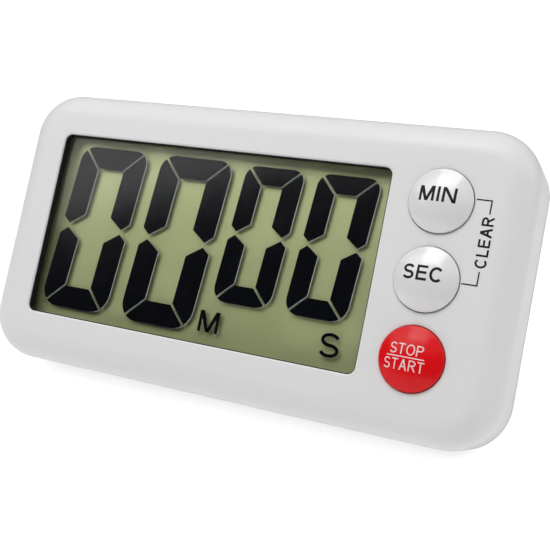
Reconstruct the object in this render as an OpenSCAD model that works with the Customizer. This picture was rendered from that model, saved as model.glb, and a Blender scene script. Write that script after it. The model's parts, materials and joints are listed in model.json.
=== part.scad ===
// Large-digit countdown timer: white case, three sprung buttons, a segment display,
// a fold-out stand, magnets and a sliding battery door.
// Every piece is drawn in the case's own frame: x to the right, y up the face,
// z out of the face, with z = 0 on the front surface. stand_up() then leans it back.

/* [Case] */
// Width of the case
body_w = 96; // [94:0.5:104]
// Height of the case along its face
body_h = 50.9; // [50:0.1:54]
// Thickness of the case
body_t = 16.4; // [16.2:0.1:18]
// Radius of the case's four corners seen from the front
corner_r = 8.7; // [7:0.1:10]
// Rounding of the front edge
front_round = 5; // [3:0.5:5]
// Rounding of the rear edge
rear_round = 2; // [1:0.25:2.5]
// Thickness of the side and front walls
wall = 2; // [1.8:0.1:2.2]
// Thickness of the rear wall
rear_wall = 1.6; // [1.4:0.1:1.8]
// Depth of the line where the two halves meet, from the front
split_z = 13.2; // [12.5:0.1:13.5]
// How far the face leans back when the timer stands on its stand, in degrees
lean = 27.44; // [24:0.01:30]

/* [Window and display] */
// Width of the window
window_w = 64; // [60:0.5:64]
// Height of the window
window_h = 33.4; // [30:0.2:33.4]
// Corner radius of the window
window_r = 1.2; // [0.8:0.1:2]
// Sideways place of the window's middle
window_x = -6.95; // [-8:0.05:-6]
// Depth of the display behind the front surface
window_depth = 1.5; // [1.2:0.1:1.6]
// Sideways shift of a segment for each millimetre of height
digit_slant = 0.0735; // [0:0.005:0.12]

/* [Buttons] */
// Radius of a button cap
button_r = 5.14; // [4.6:0.02:5.2]
// Sideways place of the buttons
button_x = 33.85; // [33:0.05:34.5]
// Distance from one button to the next
button_pitch = 12.46; // [12.2:0.02:13]
// Height of the middle button's axis
button_mid_y = -0.15; // [-0.5:0.05:0.5]
// Radial gap round a cap
button_gap = 0.2; // [0.15:0.05:0.3]
// Travel of a button
button_travel = 1; // [0.6:0.1:1]

/* [Stand and battery] */
// How far the stand is swung out, in degrees
stand_angle = 42; // [38:1:46]
// Width of the stand
stand_w = 40; // [34:1:40]
// Thickness of the stand
stand_t = 1.8; // [1.6:0.1:1.8]
// Radius of the battery cell
cell_r = 5.25; // [5:0.05:5.25]
// Length of the battery cell
cell_l = 44.5; // [43.5:0.1:44.5]

/* [Hidden] */
$fn = 64;
BIG = 60;
GAP = 0.05;

// --- where the standing timer touches the table and where its middle is ---
half_w = body_w / 2;
half_h = body_h / 2;
rear_z = -body_t;
low_edge = -(half_h - rear_round) * cos(lean) - (body_t - rear_round) * sin(lean) - rear_round;
near_edge = front_round * cos(lean) - (half_h - front_round) * sin(lean) - front_round;
far_edge = (body_t - rear_round) * cos(lean) + (half_h - rear_round) * sin(lean) + rear_round;
mid_depth = (near_edge + far_edge) / 2;

// --- front shell ---
front_z = -wall;
inner_r = corner_r - wall;
inner_round = front_round - wall;
lip_depth = 0.4;
gasket_wall = 0.9;
window_lip = 0.15;
gasket_gap = 0.1;
glass_pocket = [68.1, 39];
glass_pocket_y = -1.1;
boss_spot = [half_w - 5.24, half_h - 5.24];
boss_r = 2.4;
boss_end = -12.8;
boss_play = 0.2;
rim_play = 0.2;
rim_t = 0.8;
rim_h = 1.6;
screw_post_r = 2.6;
screw_hole_r = 2.2;
screw_seat_z = -14.6;
screw_clear = 0.15;
screw_r = 1;
screw_play = 0.02;
screw_end = -6.4;
post_r = 1.8;
post_play = 0.3;
board_spots = [[-43.6, 3], [-43.6, -14], [28.6, 20.4], [28.6, -20.6], [43.3, 6.1]];

// --- display stack, front to back ---
film_t = 0.15;
glass_t = 0.7;
segment_t = 0.04;
layer_gap = 0.01;
glass_w = 66.2;
glass_low = -20.2;
glass_high = 17.8;
rear_glass_low = -17.7;
film_z = -window_depth - layer_gap;
glass_z = film_z - film_t - layer_gap;
segment_z = glass_z - glass_t - layer_gap;
rear_glass_z = segment_z - segment_t - layer_gap;
reflector_z = rear_glass_z - glass_t - layer_gap;
reflector_t = 0.18;
frame_wall = 0.9;
frame_play = 0.15;
frame_top = front_z - 0.2;
frame_end = -4.1;
zebra_t = 1.8;
zebra_half_w = 28;
zebra_play = 0.2;

// --- circuit board and what is on it ---
board_z = -5.3;
board_t = 1;
board_back = board_z - board_t;

// --- buttons, from the face inwards ---
cap_edge = 0.6;
cap_rise = 1.2;
cap_edge_round = 0.35;
flange_r = 5.9;
flange_t = 1;
flange_z = front_z - 0.1;
mat_t = 0.8;
mat_z = board_z + mat_t;
dome_base_r = 4.6;
dome_top_r = 3.1;
dome_wall = 0.6;
dome_hole_r = 4.9;
dome_z = flange_z - flange_t - 0.02;
dome_end = board_z + button_travel + 0.06;
contact_r = 1.5;
contact_t = 0.25;
button_y = [button_mid_y + button_pitch, button_mid_y, button_mid_y - button_pitch];

// --- battery bay, door and contacts in the rear half ---
bay_len = 50;
bay_y = [9.4, 20.6];
bay_mid = (bay_y[0] + bay_y[1]) / 2;
bay_wall = 1;
bay_front = -4.3;
bay_floor = 0.8;
bay_slot = 6.4;
cell_z = -9.75;
cell_tip_r = 1.9;
cell_tip_l = 0.8;
door_t = 1.2;
door_play = 0.2;
door_w = 51;
door_low = 9;
tongue = 1.2;
tongue_t = 0.5;
tongue_z = rear_z + door_t;
grip_ribs = 5;
grip_pitch = 1.4;
grip_half_w = 7;
grip_low = 12;
grip_groove = 0.6;
grip_depth = 0.3;
contact_plate_t = 0.4;
contact_plate_z = [-14.4, -5.4];
contact_plate_side = 0.4;
spring_turns = 5;
spring_wire = 0.35;
spring_len = 3.6;

// --- stand, its recess and its hinge ---
hinge_y = 5;
hinge_z = -15.4;
barrel_r = stand_t / 2;
stub_r = 0.6;
stub_play = 0.05;
stub_len = 1.2;
recess_play = 0.4;
recess_deep = 2.2;
recess_wall = 1.4;
hinge_height = hinge_y * cos(lean) + hinge_z * sin(lean);
stand_reach = (hinge_height - low_edge - barrel_r) / cos(stand_angle - lean);
stand_corner = 4;
stand_rail = 7;
stand_end_rail = 6;
stand_hole_r = 3;
scallop_r = 7;
scallop_out = 2;
recess_low = hinge_y - stand_reach - barrel_r - recess_play;

// --- magnets, buzzer, wires ---
magnet_spots = [[-34, -12], [34, -12]];
magnet_r = 5;
magnet_t = 2.5;
magnet_play = 0.1;
magnet_wall = 1.2;
magnet_roof = 1.4;
buzzer_spot = [35.5, 9];
disc_r = 7.5;
ring_wall = 0.8;
ring_z = -12.4;
sound_hole_r = 0.7;
sound_ring_r = 2.6;
sound_holes = 6;
disc_t = 0.25;
disc_gap = 0.02;
ceramic_r = 5;
ceramic_t = 0.21;
wire_r = 0.45;

// --- shared shapes ---

// Stands a piece up: leans it back, rests it on z = 0 and centres it.
module stand_up() {
    translate([0, -mid_depth, -low_edge]) rotate([90 - lean, 0, 0]) children();
}

// Puts a copy at each [x, y] place.
module at_spots(spots) {
    for (spot = spots) translate([spot[0], spot[1], 0]) children();
}

// Half section of a slab: flat front at z_top with a rounded edge.
module slab_edge(reach, z_top, z_low, rounding) {
    intersection() {
        translate([0, z_low]) square([reach, z_top - z_low]);
        union() {
            translate([0, z_low]) square([reach - rounding, z_top - z_low]);
            translate([0, z_low]) square([reach, z_top - z_low - rounding]);
            translate([reach - rounding, z_top - rounding]) circle(r = rounding);
        }
    }
}

module slab_section(half, z_top, z_low, rounding) {
    slab_edge(half, z_top, z_low, rounding);
    mirror([1, 0]) slab_edge(half, z_top, z_low, rounding);
}

// A slab with round corners whose front edge is rounded all the way round.
module soft_slab(w, h, r, z_top, z_low, rounding) {
    for (sx = [-1, 1], sy = [-1, 1])
        translate([sx * (w / 2 - r), sy * (h / 2 - r), 0])
            rotate_extrude() slab_edge(r, z_top, z_low, rounding);
    rotate([90, 0, 90])
        linear_extrude(w - 2 * r, center = true) slab_section(h / 2, z_top, z_low, rounding);
    rotate([90, 0, 0])
        linear_extrude(h - 2 * r, center = true) slab_section(w / 2, z_top, z_low, rounding);
}

// Flat outline with round corners.
module round_rect(w, h, r) {
    square([w - 2 * r, h], center = true);
    square([w, h - 2 * r], center = true);
    for (sx = [-1, 1], sy = [-1, 1])
        translate([sx * (w / 2 - r), sy * (h / 2 - r)]) circle(r = r);
}

// A straight plate between two depths.
module plate(w, h, r, z_top, z_low) {
    translate([0, 0, z_low]) linear_extrude(z_top - z_low) round_rect(w, h, r);
}

// A box given by its low and high corners.
module span(low, high) {
    translate(low) cube(high - low);
}

// A round bar between two depths.
module disc(r, z_top, z_low) {
    translate([0, 0, z_low]) cylinder(r = r, h = z_top - z_low);
}

// Faces of a closed tube made of rings with the same number of points.
function tube_faces(rings, sides) = concat(
    [for (i = [0 : rings - 2], j = [0 : sides - 1])
        let (k = (j + 1) % sides, a = i * sides, b = a + sides) [a + j, a + k, b + k, b + j]],
    [[for (j = [sides - 1 : -1 : 0]) j]],
    [[for (j = [0 : sides - 1]) (rings - 1) * sides + j]]
);

function unit(v) = v / norm(v);

// Place and direction at t along a cubic curve with four control points.
function curve_point(p, t) =
    pow(1 - t, 3) * p[0] + 3 * t * pow(1 - t, 2) * p[1] + 3 * t * t * (1 - t) * p[2] + pow(t, 3) * p[3];
function curve_way(p, t) =
    pow(1 - t, 2) * (p[1] - p[0]) + 2 * t * (1 - t) * (p[2] - p[1]) + t * t * (p[3] - p[2]);

// A wire that follows a cubic curve.
module wire(p) {
    rings = 16;
    sides = 8;
    points = [for (i = [0 : rings - 1], j = [0 : sides - 1])
        let (t = i / (rings - 1), way = unit(curve_way(p, t)), side = unit(cross(way, [1, 0, 0])),
            up = cross(side, way), a = 360 * j / sides)
            curve_point(p, t) + wire_r * (cos(a) * side + sin(a) * up)];
    polyhedron(points = points, faces = tube_faces(rings, sides));
}

// --- case halves ---

// The whole case as one solid: rounded at the front and at the rear.
module case_solid() {
    half_deep = body_t / 2;
    soft_slab(body_w, body_h, corner_r, 0, -half_deep, front_round);
    translate([0, 0, -body_t]) mirror([0, 0, 1])
        soft_slab(body_w, body_h, corner_r, 0, -half_deep, rear_round);
}

module front_case() color([0.87, 0.87, 0.87]) stand_up() {
    difference() {
        soft_slab(body_w, body_h, corner_r, 0, -split_z, front_round);
        soft_slab(body_w - 2 * wall, body_h - 2 * wall, inner_r, front_z, -BIG, inner_round);
        translate([window_x, 0, 0]) {
            plate(window_w + 2 * window_lip, window_h + 2 * window_lip,
                window_r + window_lip, 1, -wall - 1);
            plate(window_w + 2 * (gasket_wall + gasket_gap),
                window_h + 2 * (gasket_wall + gasket_gap), window_r + 1, -lip_depth, -wall - 1);
            translate([0, glass_pocket_y, 0])
                plate(glass_pocket[0], glass_pocket[1], 1, -window_depth, -wall - 1);
        }
        for (y = button_y)
            translate([button_x, y, 0]) disc(button_r + button_gap, 1, -wall - 1);
    }
    difference() {
        union() {
            for (sx = [-1, 1], sy = [-1, 1])
                translate([sx * boss_spot[0], sy * boss_spot[1], 0]) {
                    disc(boss_r, -wall + 0.2, boss_end);
                }
            at_spots(board_spots) disc(post_r, -wall + 0.2, board_z);
        }
        for (sx = [-1, 1], sy = [-1, 1])
            translate([sx * boss_spot[0], sy * boss_spot[1], 0])
                disc(screw_r + screw_play, screw_end, -BIG);
        at_spots(board_spots) disc(board_screw_r + screw_play, board_screw_end, -BIG);
    }
}

// --- the display ---

module window_gasket() color([0.03, 0.03, 0.03]) stand_up() translate([window_x, 0, 0])
    difference() {
        plate(window_w + 2 * gasket_wall, window_h + 2 * gasket_wall,
            window_r + gasket_wall, -lip_depth, -window_depth);
        plate(window_w, window_h, window_r, 1, -wall);
    }

module display_layer(low, high, z, t) translate([window_x, (low + high) / 2, 0])
    plate(glass_w, high - low, 0.5, z, z - t);

module lcd_front_film() color([0.75, 0.78, 0.68, 0.3]) stand_up()
    display_layer(rear_glass_low, glass_high, film_z, film_t);

module lcd_front_glass() color([0.8, 0.9, 0.85, 0.3]) stand_up()
    display_layer(glass_low, glass_high, glass_z, glass_t);

module lcd_rear_glass() color([0.8, 0.9, 0.85, 0.3]) stand_up()
    display_layer(rear_glass_low, glass_high, rear_glass_z, glass_t);

module lcd_reflector() color([0.55, 0.6, 0.43]) stand_up()
    display_layer(rear_glass_low, glass_high, reflector_z, reflector_t);

// A digit shape is [half width, half height, upright width, bar height,
// upper corner radius, lower corner radius, gap at the waist]; a digit puts its middle in front.
minute_shape = [7.2, 15.27, 4.36, 4, 2.8, 3.6, 0.86];
second_shape = [5.5, 12.12, 3.45, 3.2, 2.2, 2.8, 0.64];
minute_places = [[-30.02, 0.13], [-12.57, 0.13]];
second_places = [[3.1, 3.06], [16.7, 3.06]];
digits = concat([for (place = minute_places) concat(place, minute_shape)],
    [for (place = second_places) concat(place, second_shape)]);
corner_gap = 0.42;
corner_step = corner_gap / sqrt(2);
arc_steps = 6;

function leaned(p) = [p[0] + digit_slant * p[1], p[1]];

// Points of an outer corner, from angle a to angle b, in the upper left of a digit.
function corner_arc(w, h, r, a, b) =
    [for (i = [0 : arc_steps]) let (t = a + (b - a) * i / arc_steps)
        [r - w + r * cos(t), h - r + r * sin(t)]];

// Angle on the corner arc where the mitre line crosses it.
function mitre_angle(upright, bar, r, step) = 135 - asin((upright - bar + step) / (r * sqrt(2)));

// The bar across the top: left half, then its mirror image.
function bar_points(w, h, upright, bar, r) =
    let (start = mitre_angle(upright, bar, r, corner_step),
        left = concat([[upright + corner_step - w, h - bar]], corner_arc(w, h, r, start, 90)))
    concat(left, [for (i = [len(left) - 1 : -1 : 0]) [-left[i][0], left[i][1]]]);

// The upper left upright, with its pointed end at the waist.
function upright_points(w, h, upright, bar, r, waist) =
    let (start = mitre_angle(upright, bar, r, -corner_step), tip = waist / 2)
    concat([[upright - w, h - bar - corner_step]], corner_arc(w, h, r, start, 180),
        [[-w, tip + 0.27 * upright], [0.34 * upright - w, tip], [upright - w, tip + 0.45 * upright]]);

module segment(points, flip_x, flip_y, place) {
    turned = [for (p = points) leaned([flip_x * p[0], flip_y * p[1]])];
    translate([place[0], place[1], segment_z - segment_t])
        linear_extrude(segment_t) polygon(turned);
}

module digit(d) {
    for (flip_y = [-1, 1]) {
        r = flip_y > 0 ? d[6] : d[7];
        segment(bar_points(d[2], d[3], d[4], d[5], r), 1, flip_y, d);
        for (flip_x = [-1, 1])
            segment(upright_points(d[2], d[3], d[4], d[5], r, d[8]), flip_x, flip_y, d);
    }
}

module lcd_segments() color([0.03, 0.03, 0.05]) stand_up() for (d = digits) digit(d);

module lcd_frame() color([0.15, 0.15, 0.15]) stand_up() difference() {
    inner = [glass_w + 2 * frame_play, glass_high - glass_low + 2 * frame_play];
    middle = [window_x, (glass_high + glass_low) / 2, 0];
    translate(middle) plate(inner[0] + 2 * frame_wall, inner[1] + 2 * frame_wall, 1,
        frame_top, frame_end);
    translate(middle) plate(inner[0], inner[1], 0.5, 0, -BIG);
    for (sx = [-1, 1], sy = [-1, 1])
        translate([sx * boss_spot[0], sy * boss_spot[1], 0]) disc(boss_r + post_play, 0, -BIG);
    at_spots(board_spots) disc(post_r + post_play, 0, -BIG);
}

module zebra_strip() color([0.85, 0.45, 0.6]) stand_up()
    span([window_x - zebra_half_w, glass_low + zebra_play, board_z + layer_gap],
        [window_x + zebra_half_w, glass_low + zebra_play + zebra_t, glass_z - glass_t - layer_gap]);

// --- circuit board ---

board_low = -21.6;
board_left = -45.4;
board_right = 45.2;
board_waist = 7.6;
board_arm = 27.1;
board_top = 22.2;
board_boss_play = 0.6;
board_hole_play = 0.1;
board_screw_r = 0.8;
board_screw_end = -3;

module circuit_board() color([0.1, 0.4, 0.2]) stand_up() difference() {
    union() {
        span([board_left, board_low, board_back], [board_right, board_waist, board_z]);
        span([board_arm, board_low, board_back], [board_right, board_top, board_z]);
    }
    for (sx = [-1, 1], sy = [-1, 1]) translate([sx * boss_spot[0], sy * boss_spot[1], -BIG / 2]) {
        cylinder(r = boss_r + board_boss_play, h = BIG);
        translate([sx * BIG / 2, sy * BIG / 2, 0]) cube([BIG, BIG + 2 * boss_r, 4 * BIG], center = true);
    }
    at_spots(board_spots) disc(board_screw_r + board_hole_play, 0, -BIG);
}

// A drop of black resin over the controller chip.
blob_r = 6;
blob_t = 1.6;
blob_spot = [-4, -8];

module controller_blob() color([0.05, 0.05, 0.05]) stand_up()
    translate([blob_spot[0], blob_spot[1], board_back - layer_gap]) mirror([0, 0, 1])
        rotate_extrude() intersection() {
            crown = (pow(blob_r, 2) + pow(blob_t, 2)) / (2 * blob_t);
            square([blob_r, blob_t]);
            translate([0, blob_t - crown]) circle(r = crown, $fn = 200);
        }

crystal_r = 1;
crystal_l = 6;
crystal_spot = [14, -12];

module crystal_can() color([0.75, 0.76, 0.78]) stand_up()
    translate([crystal_spot[0], crystal_spot[1], board_back - GAP - crystal_r])
        rotate([0, 90, 0]) cylinder(r = crystal_r, h = crystal_l);

// Small parts on the back of the board: [x, y] places.
resistor_spots = [[-20, -4], [-20, -8], [-20, -12], [8, 2], [12, 2], [22, -6], [22, -10]];
capacitor_spots = [[-26, -4], [-26, -8], [16, 2], [20, 2], [10, -14]];

module chips(spots, size) {
    at_spots(spots) span([-size[0] / 2, -size[1] / 2, board_back - layer_gap - size[2]],
        [size[0] / 2, size[1] / 2, board_back - layer_gap]);
}

module chip_resistors() color([0.1, 0.1, 0.12]) stand_up() chips(resistor_spots, [2, 1.25, 0.5]);

module chip_capacitors() color([0.7, 0.6, 0.45]) stand_up() chips(capacitor_spots, [2, 1.25, 0.9]);

coil_r = 2.8;
coil_core_r = 1.9;
coil_flange_t = 0.7;
coil_h = 3.5;
coil_spot = [32, -6];

module boost_coil() color([0.2, 0.2, 0.22]) stand_up()
    translate([coil_spot[0], coil_spot[1], board_back - layer_gap]) {
        disc(coil_r, 0, -coil_flange_t);
        disc(coil_core_r, -coil_flange_t, -coil_h + coil_flange_t);
        disc(coil_r, -coil_h + coil_flange_t, -coil_h);
    }

module driver_transistor() color([0.1, 0.1, 0.1]) stand_up() {
    translate([38, -3, 0]) chips([[0, 0]], [2.9, 1.4, 1.1]);
    translate([38, -3, 0]) chips([[-0.95, -1.1], [0.95, -1.1], [0, 1.1]], [0.4, 0.7, 0.2]);
}

// --- keypad ---

mat_w = 12.8;
mat_end = 6.3;
mat_corner_r = 3;

module keypad_mat() color([0.9, 0.9, 0.88]) stand_up() difference() {
    translate([button_x, button_mid_y, 0])
        plate(mat_w, 2 * (button_pitch + mat_end), mat_corner_r, mat_z, board_z + layer_gap);
    for (y = button_y) translate([button_x, y, 0]) disc(dome_hole_r, 0, -BIG);
}

// Section of a cap: skirt, flange and a dome with a softened edge.
module cap_section() {
    crown = (pow(button_r - cap_edge_round, 2) + pow(cap_rise, 2)) / (2 * cap_rise);
    translate([0, flange_z - flange_t]) square([flange_r, flange_t]);
    translate([0, flange_z - flange_t])
        square([button_r, cap_edge - cap_edge_round - flange_z + flange_t]);
    square([button_r - cap_edge_round, cap_edge]);
    translate([button_r - cap_edge_round, cap_edge - cap_edge_round]) circle(r = cap_edge_round);
    intersection() {
        translate([0, cap_edge - 0.01]) square([button_r - cap_edge_round, cap_rise + 1]);
        translate([0, cap_edge + cap_rise - crown]) circle(r = crown, $fn = 200);
    }
}

module button(i) translate([button_x, button_y[i], 0]) rotate_extrude() cap_section();

module min_button() color([0.88, 0.88, 0.88]) stand_up() button(0);
module sec_button() color([0.88, 0.88, 0.88]) stand_up() button(1);
module start_button() color([0.85, 0.17, 0.18]) stand_up() button(2);

// A rubber dome: a disc under the cap with a flaring skirt.
module dome(i) translate([button_x, button_y[i], 0]) rotate_extrude() polygon([
    [0, dome_z], [dome_top_r, dome_z], [dome_base_r, dome_end], [dome_base_r - dome_wall, dome_end],
    [dome_top_r - dome_wall, dome_z - dome_wall], [0, dome_z - dome_wall]
]);

module min_dome() color([0.85, 0.85, 0.82]) stand_up() dome(0);
module sec_dome() color([0.85, 0.85, 0.82]) stand_up() dome(1);
module start_dome() color([0.85, 0.85, 0.82]) stand_up() dome(2);

module contact(i) translate([button_x, button_y[i], dome_z - dome_wall - layer_gap])
    disc(contact_r, 0, -contact_t);

module min_contact() color([0.08, 0.08, 0.08]) stand_up() contact(0);
module sec_contact() color([0.08, 0.08, 0.08]) stand_up() contact(1);
module start_contact() color([0.08, 0.08, 0.08]) stand_up() contact(2);

// --- rear half ---

module screw_post() disc(screw_post_r, boss_end - boss_play / 2, rear_z + 0.5);

// Everything that stands up from the rear wall.
module rear_inside() {
    half_bay = bay_len / 2 + bay_wall;
    span([-half_bay, bay_y[0] - bay_wall, rear_z + 1], [half_bay, bay_y[1] + bay_wall, bay_front]);
    span([-stand_w / 2 - recess_wall - recess_play, -half_h + 1, rear_z + 1],
        [stand_w / 2 + recess_wall + recess_play, hinge_y + barrel_r + recess_play + recess_wall,
        rear_z + recess_deep + recess_wall]);
    for (sx = [-1, 1], sy = [-1, 1])
        translate([sx * boss_spot[0], sy * boss_spot[1], 0]) screw_post();
    at_spots(magnet_spots) disc(magnet_r + magnet_wall, rear_z + magnet_t + magnet_roof, rear_z + 1);
    translate([buzzer_spot[0], buzzer_spot[1], 0]) disc(disc_r + ring_wall, ring_z + 0.5, rear_z + 1);
}

// Everything that is cut away for the battery and its door.
module bay_cuts() {
    half_bay = bay_len / 2;
    span([-half_bay, bay_y[0], rear_z - 1], [half_bay, bay_y[1], bay_front - bay_floor]);
    span([-half_bay, bay_mid - bay_slot / 2, rear_z], [half_bay, bay_mid + bay_slot / 2, 0]);
    span([-door_w / 2 - door_play, door_low, rear_z - 1],
        [door_w / 2 + door_play, BIG, tongue_z + GAP]);
    span([-door_w / 2 - tongue - door_play, door_low, tongue_z - tongue_t],
        [door_w / 2 + tongue + door_play, BIG, tongue_z + 0.1]);
}

module stand_cuts() {
    span([-stand_w / 2 - recess_play, recess_low, rear_z - 1],
        [stand_w / 2 + recess_play, hinge_y + barrel_r + recess_play, rear_z + recess_deep]);
    translate([0, hinge_y, hinge_z]) rotate([0, 90, 0])
        cylinder(r = stub_r + stub_play, h = stand_w + 2 * (stub_len + recess_play), center = true);
    translate([0, -half_h - scallop_out, rear_z - 1]) cylinder(r = scallop_r, h = 2);
}

module rear_case() color([0.86, 0.86, 0.86]) stand_up() difference() {
    union() {
        difference() {
            translate([0, 0, rear_z]) mirror([0, 0, 1])
                soft_slab(body_w, body_h, corner_r, 0, split_z + rear_z, rear_round);
            plate(body_w - 2 * wall, body_h - 2 * wall, inner_r, 0, rear_z + rear_wall);
        }
        difference() {
            plate(body_w - 2 * wall - rim_play, body_h - 2 * wall - rim_play,
                inner_r - rim_play / 2, -split_z + rim_h, rear_z + rear_wall);
            plate(body_w - 2 * wall - rim_play - 2 * rim_t, body_h - 2 * wall - rim_play - 2 * rim_t,
                inner_r - rim_play / 2 - rim_t, 0, -BIG);
        }
        intersection() {
            rear_inside();
            plate(body_w - 2 * wall - rim_play, body_h - 2 * wall - rim_play,
                inner_r - rim_play / 2, 0, rear_z);
        }
    }
    bay_cuts();
    stand_cuts();
    for (sx = [-1, 1], sy = [-1, 1])
        translate([sx * boss_spot[0], sy * boss_spot[1], 0]) {
            disc(screw_hole_r, screw_seat_z, -BIG);
            disc(screw_r + screw_clear, 0, -BIG);
            disc(boss_r + boss_play, 0, boss_end - boss_play / 2);
        }
    at_spots(magnet_spots) disc(magnet_r + magnet_play, rear_z + magnet_t + magnet_play, -BIG);
    translate([buzzer_spot[0], buzzer_spot[1], 0]) {
        disc(disc_r + 0.05, 0, ring_z);
        disc(disc_r - 0.8, 0, rear_z + rear_wall);
        disc(sound_hole_r, 0, -BIG);
        for (i = [0 : sound_holes - 1])
            rotate([0, 0, i * 360 / sound_holes]) translate([sound_ring_r, 0, 0])
                disc(sound_hole_r, 0, -BIG);
    }
}

module battery_door() color([0.86, 0.86, 0.86]) stand_up() difference() {
    union() {
        intersection() {
            case_solid();
            span([-door_w / 2, door_low + door_play, rear_z - 1], [door_w / 2, BIG, tongue_z]);
        }
        span([-door_w / 2 - tongue, door_low + door_play, tongue_z - tongue_t + 0.1],
            [door_w / 2 + tongue, half_h - wall, tongue_z]);
    }
    for (i = [0 : grip_ribs - 1])
        span([-grip_half_w, grip_low + i * grip_pitch, rear_z - 1],
            [grip_half_w, grip_low + grip_groove + i * grip_pitch, rear_z + grip_depth]);
}

module rear_stand() color([0.86, 0.86, 0.86]) stand_up()
    translate([0, hinge_y, hinge_z]) rotate([stand_angle, 0, 0]) {
        rotate([0, 90, 0]) cylinder(r = barrel_r, h = stand_w, center = true);
        rotate([0, 90, 0]) cylinder(r = stub_r, h = stand_w + 2 * stub_len, center = true);
        difference() {
            union() {
                span([-stand_w / 2, -stand_reach + stand_corner, -barrel_r], [stand_w / 2, 0, barrel_r]);
                span([stand_corner - stand_w / 2, -stand_reach, -barrel_r],
                    [stand_w / 2 - stand_corner, -1, barrel_r]);
                for (sx = [-1, 1])
                    translate([sx * (stand_w / 2 - stand_corner), stand_corner - stand_reach, 0])
                        cylinder(r = stand_corner, h = stand_t, center = true);
                translate([0, -stand_reach, 0]) rotate([0, 90, 0])
                    cylinder(r = barrel_r, h = stand_w - 2 * stand_corner, center = true);
            }
            translate([0, -stand_reach / 2 - 0.5, 0]) linear_extrude(BIG, center = true)
                round_rect(stand_w - 2 * stand_rail, stand_reach - 2 * stand_end_rail, stand_hole_r);
        }
    }

// --- battery ---

module battery_cell() color([0.2, 0.25, 0.3]) stand_up()
    translate([-bay_len / 2 + contact_plate_t + 0.2, bay_mid, cell_z]) rotate([0, 90, 0]) {
        translate([0, 0, cell_tip_l]) cylinder(r = cell_r, h = cell_l - cell_tip_l);
        cylinder(r = cell_tip_r, h = 1.5 * cell_tip_l);
    }

module battery_plate() color([0.8, 0.8, 0.8]) stand_up() {
    y = [bay_y[0] + contact_plate_side, bay_y[1] - contact_plate_side];
    span([-bay_len / 2 + GAP, y[0], contact_plate_z[0]],
        [-bay_len / 2 + contact_plate_t, y[1], contact_plate_z[1]]);
    span([bay_len / 2 - contact_plate_t, y[0], contact_plate_z[0]],
        [bay_len / 2 - GAP, y[1], contact_plate_z[1]]);
}

// A coil that narrows towards the cell, swept from rings of points.
spring_sides = 8;
spring_rings = spring_turns * 16 + 1;
spring_wide = 3.2;
spring_narrow = 1.8;

function spring_point(i, j) =
    let (t = i / (spring_rings - 1), turn = 360 * spring_turns * t, a = 360 * j / spring_sides,
        reach = spring_wide + (spring_narrow - spring_wide) * t + spring_wire * cos(a))
    [spring_len * t + spring_wire * sin(a), reach * cos(turn), reach * sin(turn)];

module battery_spring() color([0.8, 0.8, 0.82]) stand_up()
    translate([bay_len / 2 - contact_plate_t - GAP - spring_wire, bay_mid, cell_z]) mirror([1, 0, 0])
        polyhedron(
            points = [for (i = [0 : spring_rings - 1], j = [0 : spring_sides - 1]) spring_point(i, j)],
            faces = tube_faces(spring_rings, spring_sides));

// --- rear fittings ---

module magnets() color([0.6, 0.6, 0.62]) stand_up()
    at_spots(magnet_spots) disc(magnet_r, rear_z + magnet_t, rear_z + 0.02);

module piezo_disc() color([0.8, 0.65, 0.3]) stand_up()
    translate([buzzer_spot[0], buzzer_spot[1], 0]) 
        disc(disc_r, ring_z + disc_gap + disc_t, ring_z + disc_gap);

module piezo_ceramic() color([0.92, 0.92, 0.9]) stand_up()
    translate([buzzer_spot[0], buzzer_spot[1], 0]) 
        disc(ceramic_r, ring_z + 2 * disc_gap + disc_t + ceramic_t, ring_z + 2 * disc_gap + disc_t);

wire_back = board_back - 0.6;

module buzzer_wires() stand_up() {
    color([0.8, 0.1, 0.1])
        wire([[35.5, 9, ring_z + 1.2], [35.5, 4, -8], [40, 0, -11], [40, 0, wire_back]]);
    color([0.1, 0.1, 0.1])
        wire([[41.6, 9, ring_z + 0.9], [42, 4, -8], [43, 2, -11], [43, 2, wire_back]]);
}

module battery_wires() stand_up() {
    color([0.8, 0.1, 0.1])
        wire([[-27.2, 14, -10], [-29.2, 12, -9], [-29.2, 1, -11], [-28.4, 1, wire_back]]);
    color([0.1, 0.1, 0.1])
        wire([[27.2, 14, -10.5], [28.6, 8, -10.5], [28.6, 2, -10.5], [27, 2, wire_back]]);
}

// Radius and height of the screw heads.
case_head = [1.9, 1.2];
board_head = [1.5, 0.8];

// A pan-head screw pointing to the front.
module screw(head_r, head_t, seat_z, r, tip_z) {
    difference() {
        disc(head_r, seat_z, seat_z - head_t);
        for (turn = [0, 90]) rotate([0, 0, turn])
            span([-head_r * 0.6, -0.2, seat_z - BIG], [head_r * 0.6, 0.2, seat_z - head_t * 0.45]);
    }
    disc(r, tip_z, seat_z);
}

module case_screws() color([0.7, 0.7, 0.72]) stand_up()
    for (sx = [-1, 1], sy = [-1, 1])
        translate([sx * boss_spot[0], sy * boss_spot[1], 0])
            screw(case_head[0], case_head[1], screw_seat_z - GAP / 2, screw_r, screw_end - 0.3);

module board_screws() color([0.7, 0.7, 0.72]) stand_up()
    at_spots(board_spots)
        screw(board_head[0], board_head[1], board_back - GAP / 2, board_screw_r, board_screw_end - 0.3);

front_case();
rear_case();
window_gasket();
lcd_front_film();
lcd_front_glass();
lcd_segments();
lcd_rear_glass();
lcd_reflector();
lcd_frame();
zebra_strip();
circuit_board();
controller_blob();
crystal_can();
chip_resistors();
chip_capacitors();
boost_coil();
driver_transistor();
keypad_mat();
min_button();
sec_button();
start_button();
min_dome();
sec_dome();
start_dome();
min_contact();
sec_contact();
start_contact();
piezo_disc();
piezo_ceramic();
buzzer_wires();
battery_cell();
battery_spring();
battery_plate();
battery_wires();
battery_door();
rear_stand();
magnets();
case_screws();
board_screws();
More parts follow.
